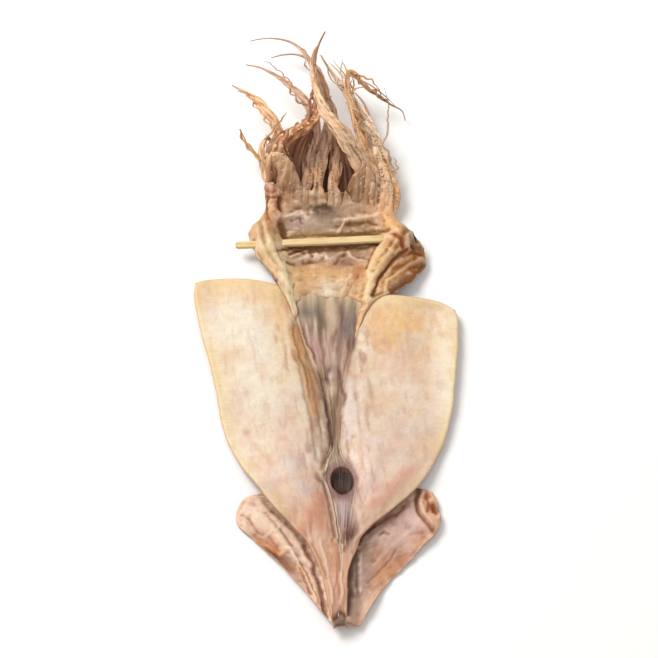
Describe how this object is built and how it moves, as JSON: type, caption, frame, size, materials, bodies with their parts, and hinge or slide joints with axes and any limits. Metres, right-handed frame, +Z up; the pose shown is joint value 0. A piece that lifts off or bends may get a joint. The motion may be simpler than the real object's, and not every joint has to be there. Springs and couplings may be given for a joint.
{
  "type": "dried squid",
  "caption": "Dried squid slit along the belly and pressed flat, arms swept forward, an oval hanging hole near the tail and a bamboo stick that holds the opened head spread.",
  "frame": {"origin": "middle of the squid's bounding box on the surface it lies on, under the front of the mantle's sunken middle strip", "axes": "+Y from the tail tip to the arms, +X across the mantle to the right seen from above, +Z up from the surface it lies on"},
  "size_m": [0.1693, 0.4346, 0.0464],
  "materials": {
    "squid": "satin",
    "bamboo": "satin"
  },
  "bodies": {
    "root": {"squid": "squid", "bamboo_stick": "bamboo"}
  },
  "joints": []
}
